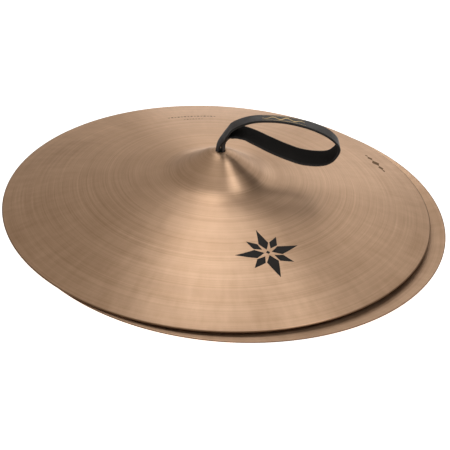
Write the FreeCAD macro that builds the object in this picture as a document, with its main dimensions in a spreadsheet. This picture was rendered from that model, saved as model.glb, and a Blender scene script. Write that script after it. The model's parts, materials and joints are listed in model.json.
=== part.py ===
import FreeCAD, Part
import math
import os

import Sketcher
from FreeCAD import Placement, Rotation, Vector

# A pair of 20 inch hand cymbals laid down face to face, each with its leather strap.
# Millimetres, +Z up, X to the right, Y to the back. The pair lies on the plane Z = 0.
#
# Each cymbal is drawn in a frame of its own: its axis is Z, its bell points up and its
# rim stands on Z = 0. The upper cymbal keeps that way up and the lower one is turned
# bell down under it. The lower bell stands on its strap, so the whole pair leans over
# until the lower rim touches the ground at the front.

SIZES = [
    ("rim_radius", 254.0, "outer radius of a cymbal: 20 inches across"),
    ("rim_thickness", 1.0, "thickness of the edge"),
    ("bow_thickness", 1.3, "thickness where the bow begins"),
    ("bell_thickness", 1.5, "thickness of the bell"),
    ("apex_height", 62.0, "top of the bell above the rim"),
    ("crown_radius", 40.0, "rounding of the top of the bell"),
    ("flank_angle", 32.0, "slope of the bell's flank, in degrees"),
    ("foot_radius", 45.0, "hollow curve from the bell to the bow"),
    ("bow_radius", 994.0, "slow curve of the bow"),
    ("hole_radius", 6.0, "strap hole in the bell"),
    ("rim_gap", 0.3, "gap between the two rims"),
    ("offset_length", 19.3, "how far the lower cymbal lies out of line"),
    ("offset_azimuth", -38.0, "direction of that offset"),
    ("lean_azimuth", -78.0, "direction in which the pair leans"),
    ("ground_shift_x", -7.55, "moves the middle of the pair over the origin"),
    ("ground_shift_y", 5.7, "moves the middle of the pair over the origin"),
    ("strap_width", 25.4, "leather strap, one inch wide"),
    ("strap_thickness", 2.5, "leather"),
    ("root_width", 11.0, "width of the strap where it enters the hole"),
    ("fold_height", 4.2, "height of the strap's fold above the bell"),
    ("fold_gap", 0.3, "gap between the folded strap and its root"),
    ("shank_width", 9.8, "strap ends where they pass through the hole"),
    ("knot_width", 19.0, "knot inside the bell, square"),
    ("knot_height", 9.0, "knot inside the bell"),
    ("knot_rounding", 3.0, "rounding of the knot's edges"),
    ("knot_drop", 4.2, "top of the knot below the top of the bell"),
    ("tail_width", 4.8, "thong cut from the strap's end"),
    ("tail_thickness", 2.4, "thong"),
    ("tail_side", 2.6, "each thong leaves the knot this far beside its middle"),
    ("upper_strap_azimuth", -1.4, "direction of the upper strap"),
    ("lower_strap_azimuth", 102.0, "direction of the lower strap"),
    ("upper_neck_angle", 72.0, "slope at which the upper strap leaves the bell"),
    ("upper_neck_length", 20.0, "length over which its two bands lie together"),
    ("lower_neck_length", 22.0, "length over which its two bands lie together"),
]

# Middle of the strap seen from the side, from where the two bands part to the far end
# of the loop. The upper loop stands stiffly over the bow: (out from the fold, up).
UPPER_LOOP_OVER = [(18, 30), (36, 38), (60, 40.5), (84, 38.5), (107, 33), (126, 23), (137, 10)]
UPPER_LOOP_UNDER = [(22, 23), (40, 16), (58, 7), (76, -1), (96, -7), (117, -8), (132, -3), (137, 10)]
# The lower loop lies on the ground: (along the ground from the fold, up from it).
LOWER_LOOP_OVER = [(42, 12), (66, 23), (92, 29), (118, 28), (134, 22), (138, 13)]
LOWER_LOOP_UNDER = [(48, 1.25), (84, 1.35), (118, 1.25), (132, 4), (138, 13)]
# A thong's end follows the inside of the bell: (out from the axis, down from the knot's top).
TAIL_ROUTE = [(9.5, -5.5), (14, -5.5), (22, -8.5), (31.5, -14.5), (41, -22)]

doc = FreeCAD.newDocument("hand_cymbals")
sheet = doc.addObject("Spreadsheet::Sheet", "sizes")
for row, (alias, value, note) in enumerate(SIZES, start=1):
    sheet.set("A%d" % row, alias)
    sheet.set("B%d" % row, str(value))
    sheet.set("C%d" % row, note)
    sheet.setAlias("B%d" % row, alias)
doc.recompute()


def size(alias):
    return float(sheet.get(alias))


# ---------------------------------------------------------------- the cymbals

def bell_points():
    """Where the outer outline changes from crown to flank, to foot, to bow."""
    slope = math.radians(size("flank_angle"))
    crown_centre = Vector(0, size("apex_height") - size("crown_radius"), 0)
    normal = Vector(math.sin(slope), math.cos(slope), 0)
    flank_top = crown_centre + normal * size("crown_radius")
    downhill = Vector(math.cos(slope), -math.sin(slope), 0)
    bow_radius = size("bow_radius")
    sink = math.sqrt(bow_radius ** 2 - size("rim_radius") ** 2)
    bow_centre = Vector(0, size("rim_thickness") - sink, 0)
    # The foot's centre is foot_radius from the flank and from the bow.
    start = flank_top + normal * size("foot_radius") - bow_centre
    along = start.dot(downhill)
    reach = (bow_radius + size("foot_radius")) ** 2 - start.dot(start)
    run = -along - math.sqrt(along ** 2 + reach)
    foot_centre = start + bow_centre + downhill * run
    return crown_centre, bow_centre, foot_centre, slope


def arc(centre, radius, start, end):
    circle = Part.Circle(centre, Vector(0, 0, 1), radius)
    return Part.ArcOfCircle(circle, start, end)


def cymbal_sketch(body):
    """Half of the cymbal's section, to be turned around the sketch's vertical axis."""
    sketch = body.newObject("Sketcher::SketchObject", body.Name + "_section")
    plane = next(f for f in body.Origin.OriginFeatures if f.Role == "XZ_Plane")
    sketch.AttachmentSupport = [(plane, "")]
    sketch.MapMode = "FlatFace"

    crown, bow, foot, slope = bell_points()
    bell, shoulder, edge = size("bell_thickness"), size("bow_thickness"), size("rim_thickness")
    rim, hole = size("rim_radius"), size("hole_radius")
    crown_radius, foot_radius = size("crown_radius"), size("foot_radius")
    bow_radius = size("bow_radius")
    flank_turn = math.pi / 2 - slope
    foot_turn = math.atan2(bow.y - foot.y, bow.x - foot.x) + 2 * math.pi
    bow_turn = foot_turn - math.pi

    def on(centre, radius, turn):
        return Vector(centre.x + radius * math.cos(turn), centre.y + radius * math.sin(turn), 0)

    normal = flank_turn + math.pi
    flank = [on(crown, crown_radius, flank_turn), on(foot, foot_radius, normal)]
    under_flank = [on(crown, crown_radius - bell, flank_turn), on(foot, foot_radius + shoulder, normal)]
    hole_top = on(crown, crown_radius, math.acos(hole / crown_radius))
    hole_foot = on(crown, crown_radius - bell, math.acos(hole / (crown_radius - bell)))
    inner_bow = Vector(0, bow.y + 2, 0)
    inner_bow_radius = math.hypot(rim, inner_bow.y)
    shapes = [
        arc(crown, crown_radius, flank_turn, math.acos(hole / crown_radius)),
        Part.LineSegment(flank[0], flank[1]),
        arc(foot, foot_radius, normal, foot_turn),
        arc(bow, bow_radius, math.acos(rim / bow_radius), bow_turn),
        Part.LineSegment(Vector(rim, edge, 0), Vector(rim, 0, 0)),
        arc(inner_bow, inner_bow_radius, math.acos(rim / inner_bow_radius), bow_turn),
        arc(foot, foot_radius + shoulder, normal, foot_turn),
        Part.LineSegment(under_flank[0], under_flank[1]),
        arc(crown, crown_radius - bell, flank_turn, math.acos(hole / (crown_radius - bell))),
        Part.LineSegment(hole_top, hole_foot),
    ]
    over_crown, over_flank, over_foot, over_bow, rim_edge = range(5)
    in_bow, in_foot, in_flank, in_crown, hole_wall = range(5, 10)
    sketch.addGeometry(shapes, False)

    start, end, centre = 1, 2, 3
    axis, origin = -2, -1
    rules = [
        ("Tangent", over_crown, start, over_flank, start),
        ("Tangent", over_flank, end, over_foot, start),
        ("Tangent", over_foot, end, over_bow, end),
        ("Coincident", over_bow, start, rim_edge, start),
        ("Coincident", rim_edge, end, in_bow, start),
        ("Tangent", in_bow, end, in_foot, end),
        ("Tangent", in_foot, start, in_flank, end),
        ("Tangent", in_flank, start, in_crown, start),
        ("Coincident", in_crown, end, hole_wall, end),
        ("Coincident", hole_wall, start, over_crown, end),
        ("Coincident", over_crown, centre, in_crown, centre),
        ("Coincident", over_foot, centre, in_foot, centre),
        ("PointOnObject", over_crown, centre, axis),
        ("PointOnObject", over_bow, centre, axis),
        ("PointOnObject", in_bow, centre, axis),
        ("PointOnObject", rim_edge, end, origin),
        ("Vertical", rim_edge),
        ("Vertical", hole_wall),
    ]
    for rule in rules:
        sketch.addConstraint(Sketcher.Constraint(*rule))

    measures = [
        ("crown", ("Radius", over_crown, crown_radius), "crown_radius"),
        ("crown_inside", ("Radius", in_crown, crown_radius - bell), "crown_radius - sizes.bell_thickness"),
        ("foot", ("Radius", over_foot, foot_radius), "foot_radius"),
        ("foot_inside", ("Radius", in_foot, foot_radius + shoulder), "foot_radius + sizes.bow_thickness"),
        ("bow", ("Radius", over_bow, bow_radius), "bow_radius"),
        ("crown_height", ("DistanceY", origin, start, over_crown, centre, crown.y),
         "apex_height - sizes.crown_radius"),
        ("flank_top", ("DistanceX", origin, start, over_crown, start, flank[0].x),
         "crown_radius * sin(sizes.flank_angle)"),
        ("rim", ("DistanceX", origin, start, over_bow, start, rim), "rim_radius"),
        ("edge", ("DistanceY", origin, start, over_bow, start, edge), "rim_thickness"),
        ("hole", ("DistanceX", origin, start, over_crown, end, hole), "hole_radius"),
    ]
    for name, rule, expression in measures:
        index = sketch.addConstraint(Sketcher.Constraint(*rule))
        sketch.renameConstraint(index, name)
        sketch.setExpression("Constraints." + name, "sizes." + expression)
    return sketch


def cymbal(name, place):
    body = doc.addObject("PartDesign::Body", name)
    body.Label = name
    sketch = cymbal_sketch(body)
    turn = body.newObject("PartDesign::Revolution", name + "_turn")
    turn.Profile = sketch
    turn.ReferenceAxis = (sketch, ["V_Axis"])
    turn.Angle = 360
    sketch.Visibility = False
    body.Placement = place
    return body


# ---------------------------------------------------------------- the leather straps

def rounded_wire(points):
    """Straight runs through the points, joined by the largest arcs that fit."""
    edges = []
    last = points[0]
    for before, corner, after in zip(points, points[1:], points[2:]):
        inward, outward = before - corner, after - corner
        turn = math.pi - inward.getAngle(outward)
        room = 0.45 * min(inward.Length, outward.Length)
        inward.normalize()
        outward.normalize()
        enter, leave = corner + inward * room, corner + outward * room
        radius = room / math.tan(turn / 2)
        bisector = (inward + outward).normalize()
        middle = corner + bisector * (radius / math.cos(turn / 2) - radius)
        edges.append(Part.LineSegment(last, enter).toShape())
        edges.append(Part.Arc(enter, middle, leave).toShape())
        last = leave
    edges.append(Part.LineSegment(last, points[-1]).toShape())
    return Part.Wire(edges)


def rectangle(centre, across, through, width, thickness):
    a, b = across * (width / 2), through * (thickness / 2)
    corners = [centre - a - b, centre + a - b, centre + a + b, centre - a + b]
    return Part.makePolygon(corners + corners[:1])


def side_view(points):
    return [Vector(x, 0, z) for x, z in points]


def ribbon(points, width, thickness):
    """A flat strip that follows the points in the XZ plane, its width along Y."""
    path = rounded_wire(points)
    ahead = (points[1] - points[0]).normalize()
    across = Vector(0, 1, 0)
    section = rectangle(points[0], across, ahead.cross(across), width, thickness)
    return path.makePipeShell([section], True, True)


def loop_shape(neck_angle, neck_length, over, under):
    """The hand loop. The fold's axis is Y through the origin; the neck points along neck_angle."""
    width, thickness = size("strap_width"), size("strap_thickness")
    slope = math.radians(neck_angle)
    ahead = Vector(math.cos(slope), 0, math.sin(slope))
    left = Vector(-math.sin(slope), 0, math.cos(slope))
    root = ahead * (thickness + size("fold_gap"))
    end = ahead * neck_length
    across = Vector(0, 1, 0)
    neck = Part.makeLoft([
        rectangle(root, across, left, size("root_width"), 2 * thickness),
        rectangle(end, across, left, width, 2 * thickness)], True, True)
    overlap = ahead * -2.0
    upper_start, lower_start = end + left * (thickness / 2), end - left * (thickness / 2)
    upper = ribbon([upper_start + overlap] + side_view(over), width, thickness)
    lower = ribbon([lower_start + overlap] + side_view(under), width, thickness)
    return neck.fuse([upper, lower]).removeSplitter()


def lowered(route, lean):
    """Turns a route measured along the ground and up from it into the fold's frame."""
    along = Vector(math.cos(lean), 0, math.sin(lean))
    off_ground = Vector(math.sin(lean), 0, -math.cos(lean))
    rest = size("strap_thickness")
    points = [along * out + off_ground * (up - rest) for out, up in route]
    return [(point.x, point.z) for point in points]


def feature(name, shape, place):
    piece = doc.addObject("Part::Feature", name)
    piece.Label = name
    piece.Shape = shape
    piece.Placement = place
    return piece


def knot(name, place):
    """A rounded block inside the bell and the four strap ends that rise through the hole."""
    block = doc.addObject("Part::Box", name + "_block")
    for side in ("Length", "Width"):
        block.setExpression(side, "sizes.knot_width")
    block.setExpression("Height", "sizes.knot_height")
    block.setExpression("Placement.Base.x", "-sizes.knot_width / 2")
    block.setExpression("Placement.Base.y", "-sizes.knot_width / 2")
    block.setExpression("Placement.Base.z", "sizes.apex_height - sizes.knot_drop - sizes.knot_height")
    doc.recompute()
    rounded = doc.addObject("Part::Fillet", name + "_rounded")
    rounded.Base = block
    rounding = size("knot_rounding")
    rounded.Edges = [(edge, rounding, rounding) for edge in range(1, 13)]

    shank = doc.addObject("Part::Box", name + "_shank")
    shank.setExpression("Length", "2 * sizes.strap_thickness")
    shank.setExpression("Width", "sizes.shank_width")
    shank.setExpression("Height", "sizes.fold_height + sizes.knot_drop + sizes.knot_height / 2")
    shank.setExpression("Placement.Base.x", "-sizes.strap_thickness")
    shank.setExpression("Placement.Base.y", "-sizes.shank_width / 2")
    shank.setExpression("Placement.Base.z", "sizes.apex_height - sizes.knot_drop - sizes.knot_height / 2")

    fold = doc.addObject("Part::Cylinder", name + "_fold")
    fold.setExpression("Radius", "sizes.strap_thickness")
    fold.setExpression("Height", "sizes.shank_width")
    fold.Placement.Rotation = Rotation(Vector(1, 0, 0), -90)
    fold.setExpression("Placement.Base.y", "-sizes.shank_width / 2")
    fold.setExpression("Placement.Base.z", "sizes.apex_height + sizes.fold_height")

    whole = doc.addObject("Part::MultiFuse", name)
    whole.Label = name
    whole.Shapes = [rounded, shank, fold]
    whole.Refine = True
    whole.Placement = place
    return whole


def straps(side, place, strap_azimuth, loop):
    """Knot, four thong ends and hand loop of one cymbal, in that cymbal's own frame."""
    around = place * Placement(Vector(), Rotation(Vector(0, 0, 1), strap_azimuth))
    pieces = [knot(side + "_strap_knot", around)]
    knot_top = size("apex_height") - size("knot_drop")
    tail = ribbon(side_view(TAIL_ROUTE), size("tail_width"), size("tail_thickness"))
    for number in range(4):
        quarter = Rotation(Vector(0, 0, 1), 90 * number)
        sideways = Vector(0, size("tail_side"), knot_top)
        step = Placement(Vector(), quarter) * Placement(sideways, Rotation())
        pieces.append(feature("%s_tail_%d" % (side, number + 1), tail, around * step))
    fold = Placement(Vector(0, 0, size("apex_height") + size("fold_height")), Rotation())
    pieces.append(feature(side + "_strap_loop", loop, around * fold))
    return pieces


# ---------------------------------------------------------------- the pair on the ground

def lean_angle():
    """The lean at which the lower strap's fold and the lower rim touch the same plane."""
    fold_reach = size("apex_height") + size("fold_height") - size("rim_thickness")
    span = math.hypot(size("rim_radius"), fold_reach)
    return math.atan2(fold_reach, size("rim_radius")) + math.asin(size("strap_thickness") / span)


def flat(length, azimuth):
    turn = math.radians(azimuth)
    return Vector(length * math.cos(turn), length * math.sin(turn), 0)


lean = lean_angle()
half_gap = Vector(0, 0, size("rim_gap") / 2)
offset = flat(size("offset_length"), size("offset_azimuth"))
lean_axis = flat(1, size("lean_azimuth") + 90)
leaned = Rotation(lean_axis, math.degrees(lean))
fold_down = size("apex_height") + size("fold_height") + size("rim_gap") / 2
lowest = leaned.multVec(offset - Vector(0, 0, fold_down)).z - size("strap_thickness")
ground = Placement(Vector(size("ground_shift_x"), size("ground_shift_y"), -lowest), leaned)

upper_place = ground * Placement(half_gap, Rotation())
lower_place = ground * Placement(offset - half_gap, Rotation(Vector(1, 0, 0), 180))

upper_loop = loop_shape(size("upper_neck_angle"), size("upper_neck_length"),
                        UPPER_LOOP_OVER, UPPER_LOOP_UNDER)
# Seen from the bell the ground rises away from the fold, so the lower loop's two bands swap.
lower_loop = loop_shape(math.degrees(lean), size("lower_neck_length"),
                        lowered(LOWER_LOOP_UNDER, lean), lowered(LOWER_LOOP_OVER, lean))

nodes = [cymbal("upper_cymbal", upper_place), cymbal("lower_cymbal", lower_place)]
nodes += straps("upper", upper_place, size("upper_strap_azimuth"), upper_loop)
nodes += straps("lower", lower_place, -size("lower_strap_azimuth"), lower_loop)
doc.recompute()

# ---------------------------------------------------------------- checks and files

for thing in doc.Objects:
    if "Invalid" in thing.State or "Error" in thing.State:
        raise RuntimeError("%s did not build: %s" % (thing.Name, thing.State))
os.makedirs("parts", exist_ok=True)
box = FreeCAD.BoundBox()
for node in nodes:
    shape = node.Shape
    if shape.isNull() or not shape.isValid() or len(shape.Solids) != 1:
        raise RuntimeError("%s is not one valid solid" % node.Label)
    print("%-18s %9.2f cm3" % (node.Label, shape.Volume / 1000))
    box.add(shape.BoundBox)
    shape.exportStep("parts/%s.step" % node.Label)
print("lean %.2f degrees" % math.degrees(lean))
print("size %.1f x %.1f x %.1f" % (box.XLength, box.YLength, box.ZLength))
print("middle %.2f %.2f, bottom %.2f" % (box.Center.x, box.Center.y, box.ZMin))
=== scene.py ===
# %% [markdown]
# # A pair of hand cymbals
#
# Hand cymbals are two thin bronze plates, each held by a leather strap that passes through a
# hole in its bell and is knotted inside. Here they are put down face to face. The CAD model
# gives every size and every moving body, and this script gives the pieces their real surface:
# lathed and hammered bronze, strap leather, ink and foil.

# %% the frame
import bpy
import json
import math
import numpy as np
from mathutils import Matrix, Vector


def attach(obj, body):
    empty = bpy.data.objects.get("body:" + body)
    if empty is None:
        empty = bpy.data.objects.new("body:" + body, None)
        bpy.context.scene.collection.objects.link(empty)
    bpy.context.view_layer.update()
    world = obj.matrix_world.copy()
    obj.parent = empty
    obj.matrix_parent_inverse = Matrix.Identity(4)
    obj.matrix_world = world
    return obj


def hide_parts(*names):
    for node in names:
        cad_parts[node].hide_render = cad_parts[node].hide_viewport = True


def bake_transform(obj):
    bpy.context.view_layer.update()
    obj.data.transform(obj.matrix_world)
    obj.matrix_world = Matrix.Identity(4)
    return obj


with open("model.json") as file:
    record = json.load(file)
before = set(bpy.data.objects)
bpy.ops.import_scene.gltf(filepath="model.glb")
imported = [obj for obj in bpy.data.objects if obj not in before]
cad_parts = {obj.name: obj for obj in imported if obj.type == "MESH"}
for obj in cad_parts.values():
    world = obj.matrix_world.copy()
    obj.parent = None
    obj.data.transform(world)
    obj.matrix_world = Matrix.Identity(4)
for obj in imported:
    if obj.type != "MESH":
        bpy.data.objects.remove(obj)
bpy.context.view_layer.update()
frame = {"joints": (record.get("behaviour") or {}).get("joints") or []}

joints = {joint["name"]: joint for joint in frame["joints"]}

# %% [markdown]
# ## A frame for each cymbal
#
# A cymbal and its strap are easiest to draw standing upright: the axis is Z, the bell points up,
# the edge stands on Z = 0 and the strap's loop points along X. The joints say where that frame
# is. The swivel runs through the hole, and the swing's axis is where the leather folds over.

# %% cymbal frames
MM = 0.001
RIM = 254 * MM
APEX = 62 * MM
FOLD = 66.2 * MM  # where the strap folds over, above the edge


def cymbal_frame(side):
    """Matrix from a cymbal's own upright frame to the row's frame."""
    swivel = joints[side + "_strap_swivel"]
    swing = joints[side + "_loop_swing"]
    up = Vector(swivel["axis"]).normalized()
    across = -Vector(swing["axis"]).normalized()
    along = across.cross(up)
    base = Vector(swivel["pos_m"]) - up * APEX
    rows = Matrix((along, across, up)).transposed().to_4x4()
    return Matrix.Translation(base) @ rows


FRAMES = {side: cymbal_frame(side) for side in ("upper", "lower")}
print("upper axis", [round(v, 3) for v in FRAMES["upper"].col[2][:3]])

# %% [markdown]
# ## Shader sums
#
# Materials are easier to read as sums than as boxes and wires. A small class wraps a node's
# socket, and adding or multiplying two of them adds the Math node that does it.

# %% shader expressions
class Value:
    """A number that varies over the surface."""

    def __init__(self, finish, socket):
        self.finish = finish
        self.socket = socket

    def math(self, operation, *others):
        return self.finish.node("ShaderNodeMath", {"operation": operation}, self, *others)

    def __add__(self, other):
        return self.math("ADD", other)

    def __sub__(self, other):
        return self.math("SUBTRACT", other)

    def __rsub__(self, other):
        return self.finish.node("ShaderNodeMath", {"operation": "SUBTRACT"}, other, self)

    def __mul__(self, other):
        return self.math("MULTIPLY", other)

    __radd__ = __add__
    __rmul__ = __mul__


class Finish:
    """A material with one Principled shader, and one method that adds any other node."""

    def __init__(self, name, **fixed):
        self.material = bpy.data.materials.new(name)
        self.material.use_nodes = True
        self.tree = self.material.node_tree
        self.shader = self.tree.nodes["Principled BSDF"]
        for socket, value in fixed.items():
            self.shader.inputs[socket.replace("_", " ")].default_value = value

    def node(self, kind, settings, *inputs, out=0, **named):
        node = self.tree.nodes.new(kind)
        for key, value in settings.items():
            setattr(node, key, value)
        for key, value in list(enumerate(inputs)) + list(named.items()):
            socket = node.inputs[key.replace("_", " ") if isinstance(key, str) else key]
            if isinstance(value, Value):
                self.tree.links.new(value.socket, socket)
            else:
                socket.default_value = value
        return Value(self, node.outputs[out])

    def mix(self, factor, low, high):
        """Mixes two colours."""
        node = self.tree.nodes.new("ShaderNodeMix")
        node.data_type = "RGBA"
        for index, value in ((0, factor), (6, low), (7, high)):
            if isinstance(value, Value):
                self.tree.links.new(value.socket, node.inputs[index])
            else:
                node.inputs[index].default_value = value if index == 0 else (*value, 1)
        return Value(self, node.outputs[2])

    def noise(self, where, scale, detail=2.0, roughness=0.5):
        return self.node("ShaderNodeTexNoise", {}, Vector=where, Scale=scale,
                         Detail=detail, Roughness=roughness)

    def feed(self, **links):
        for socket, value in links.items():
            self.tree.links.new(value.socket, self.shader.inputs[socket.replace("_", " ")])
        return self.material

# %% [markdown]
# ## Bronze
#
# A cymbal is cast, hammered and then cut on a lathe. The lathe leaves fine rings, so light is
# stretched across them into bright fans that run from the bell to the edge. Blender's
# anisotropic gloss does that: with no tangent given it turns around the object's own Z axis,
# and a quarter turn makes it stretch across the rings. Ring by ring the colour and the polish
# change a little, and the hammer and the air leave soft cloudy patches.

# %% bronze
def bronze(name, seed):
    finish = Finish(name, Metallic=1.0, Anisotropic=0.75, Anisotropic_Rotation=0.25)
    place = finish.node("ShaderNodeTexCoord", {}, out="Object")
    flat = finish.node("ShaderNodeVectorMath", {"operation": "MULTIPLY"}, place, (1, 1, 0))
    reach = finish.node("ShaderNodeVectorMath", {"operation": "LENGTH"}, flat, out="Value")
    ring_place = finish.node("ShaderNodeCombineXYZ", {}, reach, seed, 0.0)
    # The cut wanders slightly, so each ring fades in and out around the plate.
    wander = finish.node("ShaderNodeVectorMath", {"operation": "SCALE"}, place, Scale=0.012)
    cut_place = finish.node("ShaderNodeVectorMath", {"operation": "ADD"}, ring_place, wander)
    broad = finish.noise(cut_place, 190.0, 2.0, 0.6)
    fine = finish.noise(cut_place, 700.0, 3.0, 0.7)
    hair = finish.noise(cut_place, 2300.0, 1.0, 0.5)
    cloud = finish.noise(place, 14.0, 3.0, 0.55)
    blow = finish.noise(place, 60.0, 2.0, 0.5)
    # Hammering leaves short smudges along the radius, most of them near the edge.
    facing = finish.node("ShaderNodeVectorMath", {"operation": "NORMALIZE"}, flat)
    lift = finish.node("ShaderNodeCombineXYZ", {}, 0.0, 0.0, reach * 1.3 + seed)
    smudge_place = finish.node("ShaderNodeVectorMath", {"operation": "ADD"}, facing, lift)
    smudge = finish.noise(smudge_place, 24.0, 2.0, 0.6)
    near_edge = finish.node("ShaderNodeMapRange", {}, reach, 0.12, 0.235, 0.15, 1.0)
    tone = (smudge - 0.5) * near_edge * 0.55 + (broad - 0.5) * 0.60 + (fine - 0.5) * 0.95
    tone = tone + (cloud - 0.5) * 0.45 + (blow - 0.5) * 0.22 + 0.5
    tone = finish.node("ShaderNodeClamp", {}, tone, 0.0, 1.0)
    face_colour = finish.mix(tone, (0.48, 0.300, 0.182), (0.80, 0.557, 0.388))
    # The very edge is painted dark brown: painted shade standing in for the thin dark line of shadow where
    # the two plates meet.
    edge = finish.node("ShaderNodeMapRange", {}, reach, 0.2526, 0.2537, 0.0, 1.0)
    colour = finish.mix(edge, face_colour, (0.20, 0.115, 0.065))
    polish = (fine - 0.5) * 0.14 + (cloud - 0.5) * 0.08 + 0.40
    height = (broad * 0.5 + fine * 0.35 + hair * 0.15)
    bump = finish.node("ShaderNodeBump", {}, Strength=0.22, Distance=0.0003, Height=height)
    return finish.feed(Base_Color=colour, Roughness=polish, Normal=bump)


bronze_finish = bronze("lathed_bronze", 1.7)
print("bronze:", len(bronze_finish.node_tree.nodes), "nodes")

# %% [markdown]
# ## The section of a cymbal
#
# From the hole outward the section is the rounded crown of the bell, its straight flank, the
# hollow foot and the long slow bow. The plate is thickest in the bell and thins to the edge.

# %% section
CROWN_RADIUS, CROWN_CENTRE = 40 * MM, 22 * MM
FLANK = math.radians(32)
FOOT_RADIUS, FOOT_X, FOOT_Z = 45 * MM, 73.33 * MM, 76.41 * MM
BOW_RADIUS = 994 * MM
BOW_CENTRE = 1 * MM - math.sqrt(BOW_RADIUS ** 2 - RIM ** 2)
CROWN_END = CROWN_RADIUS * math.sin(FLANK)
FLANK_END = FOOT_X - FOOT_RADIUS * math.sin(FLANK)
FOOT_END = FOOT_X - FOOT_RADIUS * FOOT_X / (BOW_RADIUS + FOOT_RADIUS)
HOLE = 6 * MM


def outer_height(r):
    """Height of the outer face at each distance r from the axis."""
    r = np.asarray(r, float)
    crown = CROWN_CENTRE + np.sqrt(np.maximum(CROWN_RADIUS ** 2 - r ** 2, 0))
    flank_top = CROWN_CENTRE + CROWN_RADIUS * math.cos(FLANK)
    flank = flank_top - math.tan(FLANK) * (r - CROWN_END)
    foot = FOOT_Z - np.sqrt(np.maximum(FOOT_RADIUS ** 2 - (r - FOOT_X) ** 2, 0))
    bow = BOW_CENTRE + np.sqrt(BOW_RADIUS ** 2 - r ** 2)
    return np.select([r < CROWN_END, r < FLANK_END, r < FOOT_END], [crown, flank, foot], bow)


def wall(r):
    return np.interp(r, [0, FLANK_END, FOOT_END, RIM], [1.5 * MM, 1.5 * MM, 1.3 * MM, 1.0 * MM])


print("bell top %.1f mm" % (outer_height(0) / MM))

# %% [markdown]
# ## Hammer and lathe marks
#
# The marks are real relief, because the metal's gloss shows every tenth of a degree. Lathe
# relief depends only on the distance from the axis. Hammer blows are shallow round dents set
# in loose rings, never quite evenly, so their places come from a seeded random generator.

# %% relief
class Relief:
    """Lathe rings and hammer dents of one cymbal, as a height over its plain section."""

    def __init__(self, seed):
        rng = np.random.default_rng(seed)
        lengths = (4.2, 5.3, 6.9, 9.5, 14.0, 23.0)
        self.rings = [(length, 0.0014 * length * rng.uniform(0.7, 1.3), rng.uniform(0, 6.28))
                      for length in lengths]
        self.dents = []
        for ring in np.arange(46, 246, 15.0):
            count = int(2 * np.pi * ring / 19)
            turn = 2 * np.pi * (np.arange(count) + rng.uniform(-0.28, 0.28, count)) / count
            reach = ring + rng.uniform(-4.5, 4.5, count)
            depth = rng.uniform(0.03, 0.10, count)
            start = rng.uniform(0, 6.28)
            self.dents += list(zip(turn + start, reach, depth))

    def __call__(self, x, y):
        r = np.hypot(x, y)
        height = np.zeros_like(r)
        for length, depth, phase in self.rings:
            height += depth * MM * np.sin(2 * np.pi * r / (length * MM) + phase)
        for angle, out, depth in self.dents:
            away = (x - out * MM * math.cos(angle)) ** 2 + (y - out * MM * math.sin(angle)) ** 2
            near = away < (20 * MM) ** 2
            height[near] -= depth * MM * np.exp(-away[near] / (2 * (5.5 * MM) ** 2))
        return height * np.clip(np.minimum(RIM - r, r - HOLE) / (6 * MM), 0, 1)


RELIEF = {"upper": Relief(11), "lower": Relief(23)}
for side, relief in RELIEF.items():
    print(side, len(relief.dents), "hammer blows")

# %% [markdown]
# ## The plate
#
# One closed ring of points goes over the outer face, around the rounded edge, back along the
# inner face and up the wall of the hole. Copies of it around the axis make the plate.

# %% plate mesh
TURNS = 360
OUTER_RINGS, INNER_RINGS = 150, 90


def mesh_object(name, verts, faces, matrix, finishes, slots=None, smooth=True):
    mesh = bpy.data.meshes.new(name)
    mesh.from_pydata([tuple(v) for v in verts], [], faces)
    for finish in finishes:
        mesh.materials.append(finish)
    if slots is not None:
        mesh.polygons.foreach_set("material_index", slots)
    mesh.polygons.foreach_set("use_smooth", [smooth] * len(mesh.polygons))
    mesh.validate()
    obj = bpy.data.objects.new(name, mesh)
    obj.matrix_world = matrix
    bpy.context.scene.collection.objects.link(obj)
    return obj


def plate(side):
    angles = np.linspace(0, 2 * np.pi, TURNS, endpoint=False)
    out = HOLE + 0.4 * MM + (RIM - HOLE - 0.8 * MM) * np.linspace(0, 1, OUTER_RINGS)
    back = HOLE + 0.4 * MM + (RIM - HOLE - 0.8 * MM) * np.linspace(1, 0, INNER_RINGS)
    slope = np.gradient(outer_height(back), back)
    edge_turn = np.radians([60, 30, 0, -30, -60])
    edge_r = RIM - 0.4 * MM + 0.4 * MM * np.cos(edge_turn)
    edge_z = 0.5 * MM + 0.48 * MM * np.sin(edge_turn)
    hole_z = np.array([-1.15, -0.3]) * MM + outer_height(HOLE)
    r = np.concatenate([out, edge_r, back, [HOLE, HOLE]])
    thick = wall(back) * np.hypot(1, slope)
    z = np.concatenate([outer_height(out), edge_z, outer_height(back) - thick, hole_z])
    x = r[:, None] * np.cos(angles)
    y = r[:, None] * np.sin(angles)
    z = np.repeat(z[:, None], TURNS, axis=1)
    inside = np.zeros(len(r), bool)
    inside[OUTER_RINGS + len(edge_r):-2] = True
    z += RELIEF[side](x, y) * np.where(inside, 0.6, 1.0)[:, None]
    verts = np.stack([x, y, z], axis=-1).reshape(-1, 3)
    rows, cols = np.meshgrid(np.arange(len(r)), np.arange(TURNS), indexing="ij")
    next_row, next_col = (rows + 1) % len(r), (cols + 1) % TURNS
    corners = [rows * TURNS + cols, next_row * TURNS + cols,
               next_row * TURNS + next_col, rows * TURNS + next_col]
    faces = np.stack(corners, axis=-1).reshape(-1, 4).tolist()
    obj = mesh_object(side + "_plate_bronze", verts, faces, FRAMES[side], [bronze_finish])
    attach(obj, side + "_plate")
    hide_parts(side + "_cymbal")
    print(obj.name, len(obj.data.polygons), "faces")
    return obj


for side in FRAMES:
    plate(side)

# %% [markdown]
# ## Strap leather
#
# The strap is vegetable tanned leather, one inch wide. Its outer face is dyed and pressed smooth,
# with a fine grain and a dull shine. The inner face is the rough flesh side and drinks light, and
# the cut edges are dyed black and burnished.

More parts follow.
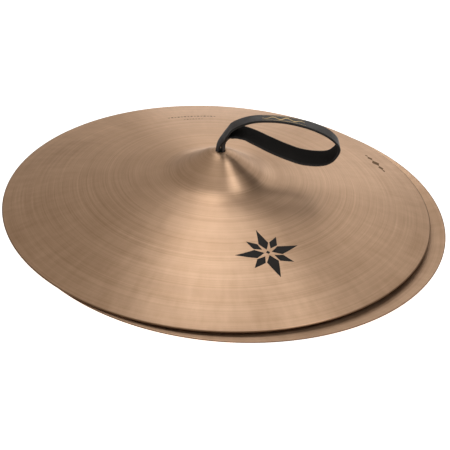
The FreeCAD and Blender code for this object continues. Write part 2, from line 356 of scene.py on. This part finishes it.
# %% leather
def smooth_leather():
    finish = Finish("strap_leather_smooth", Specular_IOR_Level=0.35)
    place = finish.node("ShaderNodeTexCoord", {}, out="Object")
    pebble = finish.node("ShaderNodeTexVoronoi", {"feature": "SMOOTH_F1"}, Vector=place, Scale=900.0)
    crease = finish.noise(place, 90.0, 4.0, 0.6)
    wear = finish.noise(place, 25.0, 2.0, 0.5)
    colour = finish.mix(wear, (0.010, 0.009, 0.010), (0.027, 0.025, 0.027))
    polish = (crease - 0.5) * 0.25 + (pebble - 0.4) * 0.15 + 0.50
    bump = finish.node("ShaderNodeBump", {}, Strength=0.35, Distance=0.0002,
                       Height=pebble * 0.4 + crease)
    return finish.feed(Base_Color=colour, Roughness=polish, Normal=bump)


def flesh_leather():
    finish = Finish("strap_leather_flesh", Specular_IOR_Level=0.15)
    place = finish.node("ShaderNodeTexCoord", {}, out="Object")
    fibre = finish.noise(place, 1100.0, 4.0, 0.7)
    patch = finish.noise(place, 70.0, 2.0, 0.5)
    colour = finish.mix(patch * 0.6 + fibre * 0.4, (0.004, 0.004, 0.004), (0.017, 0.015, 0.014))
    bump = finish.node("ShaderNodeBump", {}, Strength=0.5, Distance=0.0003, Height=fibre)
    return finish.feed(Base_Color=colour, Roughness=fibre * 0.2 + 0.72, Normal=bump)


def edge_leather():
    finish = Finish("strap_leather_edge", Specular_IOR_Level=0.25)
    place = finish.node("ShaderNodeTexCoord", {}, out="Object")
    rub = finish.noise(place, 160.0, 3.0, 0.6)
    colour = finish.mix(rub, (0.003, 0.003, 0.003), (0.012, 0.011, 0.010))
    return finish.feed(Base_Color=colour, Roughness=rub * 0.3 + 0.35)


LEATHER = [smooth_leather(), flesh_leather(), edge_leather()]
print("leather:", ", ".join(m.name for m in LEATHER))

# %% [markdown]
# ## A strip of leather
#
# A strap is a flat strip that follows a line in space. Each point of the line also says which
# way the smooth face looks, so the strip can roll, and how wide it is there. A rounded
# rectangle set square to the line at many places gives the strip its thickness.

# %% strip
def through(points, steps=10):
    """A smooth line of many points through a few (Catmull-Rom)."""
    points = np.asarray(points, float)
    padded = np.vstack([2 * points[0] - points[1], points, 2 * points[-1] - points[-2]])
    line = []
    for a, b, c, d in zip(padded, padded[1:], padded[2:], padded[3:]):
        for part in np.arange(steps) / steps:
            line.append(0.5 * (2 * b + (c - a) * part + (2 * a - 5 * b + 4 * c - d) * part ** 2
                               + (3 * b - a - 3 * c + d) * part ** 3))
    line.append(points[-1])
    return np.array(line)


def unit(vectors):
    return vectors / np.linalg.norm(vectors, axis=-1, keepdims=True)


def strip_axes(line, face):
    """Along the strip, across it, and out of its smooth face."""
    ahead = unit(np.gradient(line, axis=0))
    side = unit(np.cross(ahead, face))
    return ahead, side, np.cross(side, ahead)


def strip_section(across=10, round_steps=3):
    """Points (side, height) from -1 to 1 around a flat strip, with the share of it that is corner."""
    flat = np.concatenate([[-1], np.linspace(-0.91, 0.91, across - 2), [1]])
    top = [(side, 1.0, 0.0) for side in flat]
    bottom = [(side, -1.0, 0.0) for side in flat[::-1]]
    turns = np.radians(np.linspace(60, -60, round_steps))
    right = [(1.0, math.sin(turn), math.cos(turn)) for turn in turns]
    left = [(-1.0, -math.sin(turn), math.cos(turn)) for turn in turns]
    return np.array(top + right + bottom + left), across, round_steps


def strip(name, line, face, width, thickness, matrix, finishes=LEATHER, crown=0.0, curl=0.0):
    """A strip along the line; face is where its smooth side looks. Width and curl may vary.

    Curl is one over the radius to which the strip is rolled up across its width."""
    section, across, rounds = strip_section()
    _, side, up = strip_axes(line, face)
    half = np.broadcast_to(np.asarray(width, float) / 2, len(line))
    rounding = thickness * 0.42
    corner = np.sign(section[:, 0]) * section[:, 2] * rounding
    reach = section[:, 0] * (half[:, None] - rounding) + corner
    swell = 1 + crown * (1 - section[:, 0] ** 2)
    height = section[:, 1] * swell * thickness / 2
    bend = np.maximum(np.broadcast_to(np.asarray(curl, float), len(line)), 0.2)[:, None]
    angle = reach * bend
    wide = (1 / bend + height) * np.sin(angle)
    high = (1 / bend + height) * np.cos(angle) - 1 / bend
    verts = line[:, None] + side[:, None] * wide[..., None] + up[:, None] * high[..., None]
    count = len(section)
    faces, slots = [], []
    for row in range(len(line) - 1):
        for col in range(count):
            after = (col + 1) % count
            faces.append((row * count + col, row * count + after,
                          (row + 1) * count + after, (row + 1) * count + col))
            # The burnish wraps a little way over both faces.
            slots.append(0 if 0 < col < across - 2 else
                         1 if across + rounds < col < 2 * across + rounds - 2 else 2)
    last = (len(line) - 1) * count
    faces += [tuple(range(count))[::-1], tuple(last + col for col in range(count))]
    slots += [2, 2]
    return mesh_object(name, verts.reshape(-1, 3), faces, matrix, finishes, slots)

# %% [markdown]
# ## The hand loops
#
# Both bands of a loop leave the hole together, gathered to the width of the hole, and open to
# the full inch as they rise. The upper strap springs out stiffly over the bow: its upper band
# looks up and leans away, and its lower band leans towards the front and shows its rough side.
# The lower strap lies on the floor, so its points are measured along the floor and up from it.

# %% loops
STRAP = 2.4 * MM
CROWNED = 0.05
BEND_WAY = (0.6, 0, 0.8)
BEND_BELOW, BEND_ABOVE = 1 * MM, 9 * MM
LOOP_UPPER = [(-4.2, -9, 0), (-4.3, -2, 0), (-3.2, 5, 0), (1.0, 13.6, 0), (8.6, 22.8, -2),
              (18.4, 30.6, -5),
              (36, 37.6, -8), (60, 39.6, -9.3), (84, 37.6, -8), (107, 32.2, -5), (126, 23.4, -2),
              (137, 11, 0), (130.5, -2.6, 8), (117, -7.7, 16), (96, -6.9, 19), (76, -1, 19.5),
              (57, 6.5, 20), (39, 14.6, 17), (24.5, 19.6, 10), (13.6, 16.6, 5), (7.3, 10.4, 2), (4.4, 4, 0),
              (4.3, -3, 0), (4.2, -9, 0)]
LOOP_LOWER = [(-4.6, 9.6, 0), (1.5, 7.2, 0), (9, 4.4, 0), (20, 4.0, 0), (42, 12, 1),
              (66, 23, 2), (92, 29, 2),
              (118, 28, 1), (134, 22, 0), (138, 13, 0), (131, 4.4, 0), (117, 1.7, 0), (84, 1.5, 0),
              (48, 1.5, 0), (20, 1.5, 0), (9, 1.6, 0), (1, 2.0, 0), (-5.4, 5.6, 0)]


LOOP_LINES = {}


def floor_route(points, lean):
    """Measured along the floor from the fold and up from it, into the fold's own plane."""
    turned = []
    for out, up, roll in points:
        drop = up - 2.5
        turned.append((out * math.cos(lean) + drop * math.sin(lean),
                       out * math.sin(lean) - drop * math.cos(lean), roll))
    return turned


def loop(side, route, gather_share):
    points = np.array(route)
    line = through(points)
    roll = np.radians(line[:, 2])
    line = np.stack([line[:, 0], np.zeros(len(line)), line[:, 1]], axis=1)
    ahead = unit(np.gradient(line, axis=0))
    # The smooth face is the one that looks away from the middle of the loop.
    outward = np.cross(ahead, (0, 1, 0))
    outward *= np.sign(np.sum(outward * (line - line.mean(axis=0))))
    # The band's width leans by the roll, which turns its smooth face the same way.
    across = np.stack([0 * roll, np.cos(roll), np.sin(roll)], axis=1)
    face = unit(np.cross(across, ahead))
    face *= np.sign(np.sum(face * outward, axis=1))[:, None]
    run = np.concatenate([[0], np.cumsum(np.linalg.norm(np.diff(line, axis=0), axis=1))])
    from_hole = np.minimum(run, run[-1] - run)
    width = np.interp(from_hole, [0, 8, 15, 27, 36], [11.4, 11.6, 14.5, 24.4, 25.4])
    # Where the strap is gathered to pass the hole it is rolled nearly into a half round.
    curl = gather_share * np.interp(from_hole, [0, 14, 20, 28, 38], [235, 230, 150, 40, 0])
    line[:, 2] += FOLD / MM
    piece = strip(side + "_hand_strap", line * MM, face, width * MM, STRAP, FRAMES[side], crown=CROWNED,
                  curl=curl)
    LOOP_LINES[side] = (line * MM, face, run)
    fold = FRAMES[side] @ Vector((0, 0, FOLD))
    turn = FRAMES[side].to_3x3() @ Vector(BEND_WAY)
    fold - turn * BEND_BELOW
    fold + turn * BEND_ABOVE
    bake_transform(piece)
    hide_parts(side + "_strap_loop")
    print(piece.name, "%.0f mm of strap" % run[-1])
    return piece


loop("upper", LOOP_UPPER, 1.0)
LEAN = math.acos(FRAMES["upper"].col[2][2])
loop("lower", floor_route(LOOP_LOWER, LEAN), 0.25)

# %% [markdown]
# ## The crown knot
#
# Inside the bell each end of the strap is slit into two thongs. The four thongs spread out, and
# each is folded back over its neighbour, so that together they lock into a square crown knot
# too big for the hole. Their ends trail along the inside of the bell.

# %% knot
THONG_WIDTH, THONG = 4.8, 2.2
KNOT_TOP = 57.8


def thong(side, number):
    """One quarter of the knot: down the hole, out, back over its neighbours, and away."""
    route = [(1.2, 2.5, 4.6), (1.2, 2.5, 2.8), (2.2, 2.9, 0.2), (6.5, 3.6, -1.9), (10.4, 4.0, -3.6),
             (10.8, 4.0, -6.2), (8.0, 4.0, -8.2), (4.0, 4.0, -8.6), (0.0, 4.0, -7.2), (-4.0, 4.0, -5.0),
             (-9.0, 3.8, -5.4), (-14, 3.4, -7.2), (-22, 3.0, -10.4), (-31.5, 2.8, -16.2), (-40, 2.6, -22.4)]
    faces = [(1, 0, 0), (1, 0, 0), (0.8, 0, 0.6), (0.1, 0, 1), (0.6, 0, 0.8), (1, 0, -0.3), (0.3, 0, -1),
             (0, 0, -1), (-0.4, 0, -1), (-0.1, 0, -1), (0.1, 0, -1), (0.3, 0, -1), (0.4, 0, -1),
             (0.55, 0, -0.9), (0.6, 0, -0.8)]
    turn = math.radians(90 * number)
    spin = np.array([[math.cos(turn), -math.sin(turn), 0],
                     [math.sin(turn), math.cos(turn), 0], [0, 0, 1]])
    line = through(route, 6) @ spin.T
    face = unit(through(faces, 6)) @ spin.T
    line[:, 2] += KNOT_TOP
    width = np.interp(np.linspace(0, 1, len(line)), [0, 0.75, 0.97, 1], [THONG_WIDTH] * 3 + [2.4])
    piece = strip("%s_thong_%d" % (side, number + 1), line * MM, face, width * MM, THONG * MM,
                  FRAMES[side])
    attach(piece, side + "_knot")
    nodes = ["%s_tail_%d" % (side, number + 1)] + ([side + "_strap_knot"] if number == 0 else [])
    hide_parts(*nodes)
    return piece


thongs = [thong(side, number) for side in ("upper", "lower") for number in range(4)]
print(len(thongs), "thongs")

# %% [markdown]
# ## Ink and foil
#
# Each cymbal carries a printed rosette near its edge, a thin row of lozenges across from it and a
# small bronze coloured sprig. The strap has a wave pressed in gold foil. They are plain
# ornaments. Every shape is made of four sided patches, laid over the hammered surface so that
# the print follows each dent, and a hair above it.

# %% print finishes
def ink(name, dark, light, rough, metallic=0.0):
    finish = Finish(name, Metallic=metallic, Specular_IOR_Level=0.2)
    place = finish.node("ShaderNodeTexCoord", {}, out="Object")
    cover = finish.noise(place, 700.0, 3.0, 0.65)
    cloud = finish.noise(place, 60.0, 2.0, 0.5)
    colour = finish.mix(cover * 0.6 + cloud * 0.4, dark, light)
    bump = finish.node("ShaderNodeBump", {}, Strength=0.15, Distance=0.0001, Height=cover)
    return finish.feed(Base_Color=colour, Roughness=cover * 0.2 + rough, Normal=bump)


BLACK_INK = ink("black_ink", (0.004, 0.004, 0.004), (0.022, 0.018, 0.016), 0.42)
BROWN_INK = ink("brown_ink", (0.12, 0.062, 0.026), (0.25, 0.140, 0.062), 0.45)
GOLD_FOIL = ink("gold_foil", (0.66, 0.42, 0.14), (1.0, 0.76, 0.34), 0.30, 0.6)

# %% patches
def patch(corners, cells):
    """Points and faces of a flat four sided patch, cut into a grid."""
    a, b, c, d = np.array(corners, float)
    u, v = np.meshgrid(np.linspace(0, 1, cells + 1), np.linspace(0, 1, cells + 1), indexing="ij")
    u, v = u[..., None], v[..., None]
    points = (a * (1 - u) * (1 - v) + b * u * (1 - v) + c * u * v + d * (1 - u) * v).reshape(-1, 2)
    wide = cells + 1
    faces = [(i * wide + j, (i + 1) * wide + j, (i + 1) * wide + j + 1, i * wide + j + 1)
             for i in range(cells) for j in range(cells)]
    return points, faces


def gather(patches):
    """Joins patches into one list of points and faces."""
    points, faces, base = [], [], 0
    for patch_points, patch_faces in patches:
        points.append(patch_points)
        faces += [tuple(corner + base for corner in face) for face in patch_faces]
        base += len(patch_points)
    return np.vstack(points), faces


def kite(angle, root, shoulder, tip, spread):
    """A kite that points outward at an angle from the middle of an ornament."""
    def at(reach, turn):
        return (reach * math.sin(turn), reach * math.cos(turn))
    return [at(root, angle), at(shoulder, angle + spread), at(tip, angle), at(shoulder, angle - spread)]


def lozenge(along, across, half_long, half_wide):
    return [(along - half_long, across), (along, across - half_wide),
            (along + half_long, across), (along, across + half_wide)]


def rosette():
    long_rays = [patch(kite(math.radians(90 * n), 4, 15, 36, 0.42), 10) for n in range(4)]
    short_rays = [patch(kite(math.radians(90 * n + 45), 7, 16, 28, 0.30), 8) for n in range(4)]
    bead = [patch(lozenge(0, 0, 2.4, 2.4), 3)]
    return long_rays + short_rays + bead


def lozenge_row(count, step, half_long, half_wide):
    first = -step * (count - 1) / 2
    return [patch(lozenge(first + step * n, 0, half_long, half_wide * (1.0 if n % 2 else 0.55)), 3)
            for n in range(count)]


def sprig():
    leaves = [lozenge(0, 0, 7.5, 5.6)]
    for way in (-1, 1):
        leaves += [lozenge(way * 13.5, 0, 5.4, 3.6), lozenge(way * 21.5, 0, 2.8, 1.9)]
    return [patch(leaf, 6) for leaf in leaves]


PRINT_LIFT = 0.06 * MM


def printed(side, name, patches, reach, azimuth, finish):
    """Lays patches on a cymbal: x runs round it, y outward, about a place on its outer face."""
    points, faces = gather(patches)
    middle = math.radians(azimuth)
    out = (reach + points[:, 1]) * MM
    turn = middle + points[:, 0] / reach
    x, y = out * np.cos(turn), out * np.sin(turn)
    z = outer_height(out) + RELIEF[side](x, y) + PRINT_LIFT
    faces = [face[::-1] for face in faces]
    piece = mesh_object("%s_%s" % (side, name), np.stack([x, y, z], axis=-1), faces,
                        FRAMES[side], [finish])
    up = FRAMES[side].to_3x3() @ piece.data.polygons[0].normal
    if up.dot(FRAMES[side].col[2].to_3d()) < 0:
        piece.data.flip_normals()
    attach(piece, side + "_plate")
    return piece


for side in ("upper", "lower"):
    printed(side, "rosette", rosette(), 157, -69, BLACK_INK)
    printed(side, "lozenge_row", lozenge_row(15, 4.6, 2.1, 1.9), 185.5, 103.4, BLACK_INK)
    printed(side, "short_row", lozenge_row(7, 4.0, 1.6, 1.2), 172, 103.4, BLACK_INK)
    printed(side, "sprig", sprig(), 222, 24, BROWN_INK)
print("ornaments on both cymbals")

# %% foil on the strap
WAVE_STEPS = 48
WAVE_LENGTH = 50  # mm along the strap


def foil(side):
    """A gold wave on the smooth face of the strap's upper band."""
    line, face, run = LOOP_LINES[side]
    start = run[np.argmin(np.abs(line[:90, 0] - 44 * MM))] if side == "upper" else 60.0
    strokes = []
    for middle, wave, thick in ((0.0, 4.4, 1.10), (8.4, 0.0, 0.36), (-8.4, 0.0, 0.36)):
        for n in range(WAVE_STEPS):
            ends = []
            for step in (n, n + 1):
                part = step / WAVE_STEPS
                swell = math.sin(math.pi * part)
                height = middle + wave * math.sin(6 * math.pi * part) * (0.45 + 0.55 * swell)
                ends.append((start + WAVE_LENGTH * part, height, thick * (0.35 + swell)))
            (s0, h0, t0), (s1, h1, t1) = ends
            strokes.append(([(s0, h0 - t0), (s1, h1 - t1), (s1, h1 + t1), (s0, h0 + t0)]))
    points, faces = gather([patch(corners, 1) for corners in strokes])
    _, sideways, up = strip_axes(line, face)

    def along(values):
        return np.stack([np.interp(points[:, 0], run, values[:, axis]) for axis in range(3)], axis=-1)

    swell = 1 + CROWNED * (1 - (points[:, 1] / 11.7) ** 2)
    lift = (STRAP / 2 * swell + 0.05 * MM)[:, None]
    placed = along(line) + along(sideways) * points[:, 1:2] * MM + along(up) * lift
    piece = mesh_object(side + "_foil_wave", placed, faces, FRAMES[side], [GOLD_FOIL])
    if piece.data.polygons[0].normal.dot(Vector(along(up)[0])) < 0:
        piece.data.flip_normals()
    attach(piece, side + "_loop")
    return piece


foils = [foil("upper"), foil("lower")]
print("foil faces:", [len(piece.data.polygons) for piece in foils])

# %% [markdown]
# ## Floor, light and camera
#
# The pair lies on a wide sheet of white paper that curls up a little far away. Soft lamps hang
# over it and behind it, a little to the right, so that a fan of light runs from the bell to the
# front edge, and a weaker one fills from the front right. The room is dim and slightly warm,
# which keeps the left side dark.

# %% floor
floor_finish = Finish("floor", Base_Color=(0.9, 0.9, 0.9, 1), Roughness=0.9,
                      Emission_Color=(1, 1, 1, 1), Emission_Strength=0.9)
SIDES = 64
around = np.linspace(0, 2 * np.pi, SIDES, endpoint=False)
paper = [(0, 0, 0)] + [(r * math.cos(a), r * math.sin(a), z)
                       for r, z in ((28, 0), (30, 3)) for a in around]
sheet_faces = [(0, 1 + n, 1 + (n + 1) % SIDES) for n in range(SIDES)]
sheet_faces += [(1 + n, 1 + SIDES + n, 1 + SIDES + (n + 1) % SIDES, 1 + (n + 1) % SIDES)
                for n in range(SIDES)]
floor = mesh_object("floor", paper, sheet_faces, Matrix(), [floor_finish.material], smooth=False)

# %% light
scene = bpy.context.scene
scene.view_settings.view_transform = "Standard"
world = bpy.data.worlds.new("studio")
scene.world = world
world.use_nodes = True
world.node_tree.nodes["Background"].inputs["Color"].default_value = (1.0, 0.91, 0.81, 1)
world.node_tree.nodes["Background"].inputs["Strength"].default_value = 0.34
TARGET = FRAMES["upper"].translation.copy()


def softbox(name, azimuth, elevation, size, power):
    """A soft round lamp; azimuth 0 is straight behind the pair and 90 is to its right."""
    turn, rise = math.radians(azimuth), math.radians(elevation)
    away = Vector((math.sin(turn) * math.cos(rise), math.cos(turn) * math.cos(rise), math.sin(rise)))
    data = bpy.data.lights.new(name, "AREA")
    data.shape = "DISK"
    data.size = size
    data.energy = power
    lamp = bpy.data.objects.new(name, data)
    lamp.location = TARGET + away * 2.2
    lamp.rotation_euler = (TARGET - lamp.location).to_track_quat("-Z", "Y").to_euler()
    scene.collection.objects.link(lamp)
    return lamp


softbox("top", 8, 82, 0.8, 3.0)
softbox("high_back", 8, 65, 0.8, 3.3)
softbox("low_back", 2, 16, 0.8, 1.8)
softbox("back_right", 25, 32, 0.8, 1.6)
softbox("right", 45, 48, 0.8, 0.9)
softbox("front_right", 130, 48, 0.8, 7.4)

# %% camera
ELEVATION = math.radians(16.3)
DISTANCE = 0.992
camera_data = bpy.data.cameras.new("camera")
camera_data.sensor_width = 36
camera_data.lens = 65.4
camera_data.shift_x = 0.0162
camera_data.shift_y = -0.067
camera = bpy.data.objects.new("camera", camera_data)
view_line = Vector((0, -math.cos(ELEVATION), math.sin(ELEVATION)))
camera.location = TARGET + view_line * DISTANCE
camera.rotation_euler = (-view_line).to_track_quat("-Z", "Y").to_euler()
scene.collection.objects.link(camera)
scene.camera = camera
